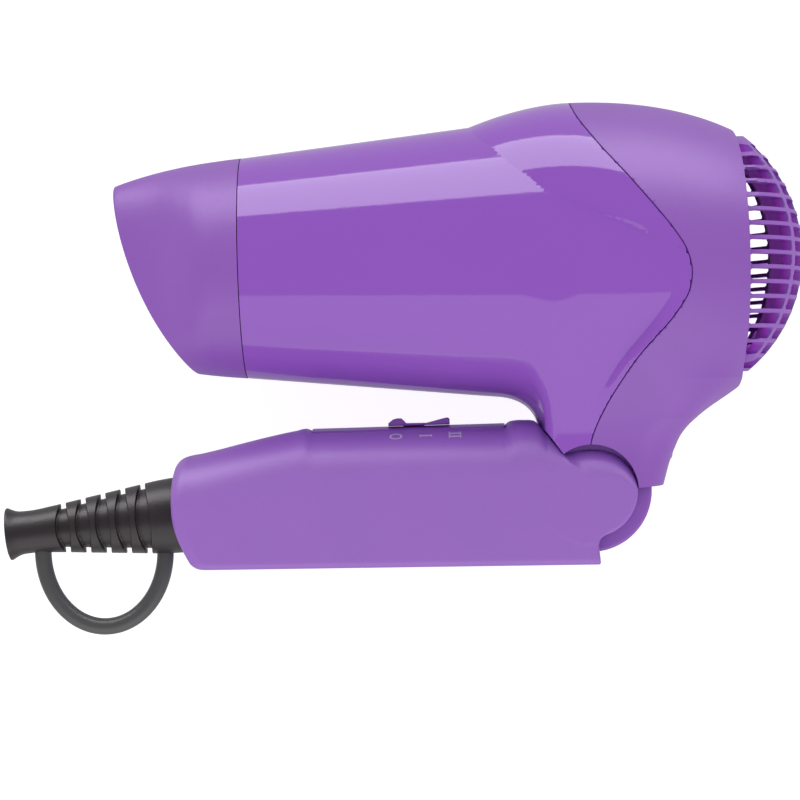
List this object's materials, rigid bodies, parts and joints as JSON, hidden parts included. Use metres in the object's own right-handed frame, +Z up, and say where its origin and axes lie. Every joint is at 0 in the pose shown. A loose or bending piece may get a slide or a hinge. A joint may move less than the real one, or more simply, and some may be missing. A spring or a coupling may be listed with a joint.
{
  "type": "travel hair dryer",
  "caption": "Compact hair dryer with a tapered barrel, domed slotted inlet, pull-off nozzle, folding handle with slide switch, ribbed cord guard and hanging loop.",
  "frame": {"origin": "middle of the folded dryer's box, on the surface it lies on (its right side down)", "axes": "+X along the barrel towards the air inlet, +Y away from the folded handle, +Z up, out of the dryer's left side"},
  "size_m": [0.189, 0.1214, 0.0729],
  "materials": {
    "gloss_casing": "polished injection-moulded plastic, clear reflections",
    "matt_casing": "fine satin moulded plastic",
    "handle_casing": "fine satin moulded plastic",
    "slider_plastic": "semi-gloss moulded plastic",
    "guard_rubber": "soft brown-black rubber, satin",
    "loop_rubber": "smooth dark grey rubber",
    "dark_plastic": "black heat-resistant plastic",
    "hinge_plastic": "satin moulded plastic, self-coloured",
    "fan_plastic": "black moulded plastic",
    "steel_bright": "bright zinc-plated steel",
    "steel_spring": "spring steel",
    "magnet_ferrite": "ground ferrite",
    "copper_parts": "enamelled copper winding and laminated core",
    "bronze": "sintered bronze",
    "carbon": "pressed carbon brush",
    "board": "phenolic circuit board",
    "diode_black": "moulded epoxy",
    "capacitor_film": "dipped film capacitor",
    "mica": "pressed mica sheet, silvery buff",
    "heater_wire": "oxidised resistance wire",
    "wire_insulation": "fibreglass-sleeved lead, off-white",
    "clamp_plastic": "natural nylon",
    "acetal": "natural acetal washer"
  },
  "bodies": {
    "housing": {"front_shell": "gloss_casing", "rear_shell": "matt_casing", "hinge_knuckle": "hinge_plastic", "neck_screw": "steel_bright", "inlet_grille": "matt_casing", "outlet_grille": "dark_plastic", "fan_stator": "dark_plastic", "motor_can": "steel_bright", "motor_magnets": "magnet_ferrite", "motor_end_cap": "dark_plastic", "motor_brushes": "carbon", "motor_bushes": "bronze", "rectifier_board": "board", "rectifier_diodes": "diode_black", "noise_capacitor": "capacitor_film", "mica_sleeve": "mica", "mica_cross": "mica", "heater_coils": "heater_wire", "thermostat": "steel_bright", "thermal_fuse": "steel_bright", "body_wiring": "wire_insulation"},
    "handle": {"handle_shell_near": "handle_casing", "handle_shell_far": "handle_casing", "handle_screws": "steel_bright", "hinge_washers": "acetal", "switch_bezel": "slider_plastic", "switch_module": "dark_plastic", "switch_board": "board", "handle_wiring": "wire_insulation", "cord_clamp": "clamp_plastic", "clamp_screws": "steel_bright", "strain_relief": "guard_rubber", "hanging_loop": "loop_rubber"},
    "slider": {"switch_slider": "slider_plastic"},
    "snap_ring": {"nozzle_snap_ring": "steel_spring"},
    "nozzle": {"nozzle": "matt_casing"},
    "rotor": {"motor_shaft": "steel_bright", "armature": "copper_parts", "fan_impeller": "fan_plastic"}
  },
  "joints": [
    {"name": "handle_fold", "type": "hinge", "parent": "housing", "child": "handle", "pos_m": [0.04227, -0.02984, 0.03643], "axis": [0, 0, 1], "range_deg": [0, 86]},
    {"name": "switch_slide", "type": "slide", "parent": "handle", "child": "slider", "axis": [1, 0, 0], "range_m": [0, 0.0134]},
    {"name": "nozzle_pull", "type": "slide", "parent": "housing", "child": "snap_ring", "axis": [-1, 0, 0], "range_m": [0, 0.025]},
    {"name": "nozzle_turn", "type": "hinge", "parent": "snap_ring", "child": "nozzle", "pos_m": [-0.03873, 0.02416, 0.03643], "axis": [1, 0, 0], "continuous": true},
    {"name": "fan_spin", "type": "hinge", "parent": "housing", "child": "rotor", "pos_m": [0.04127, 0.02416, 0.03643], "axis": [1, 0, 0], "continuous": true}
  ]
}
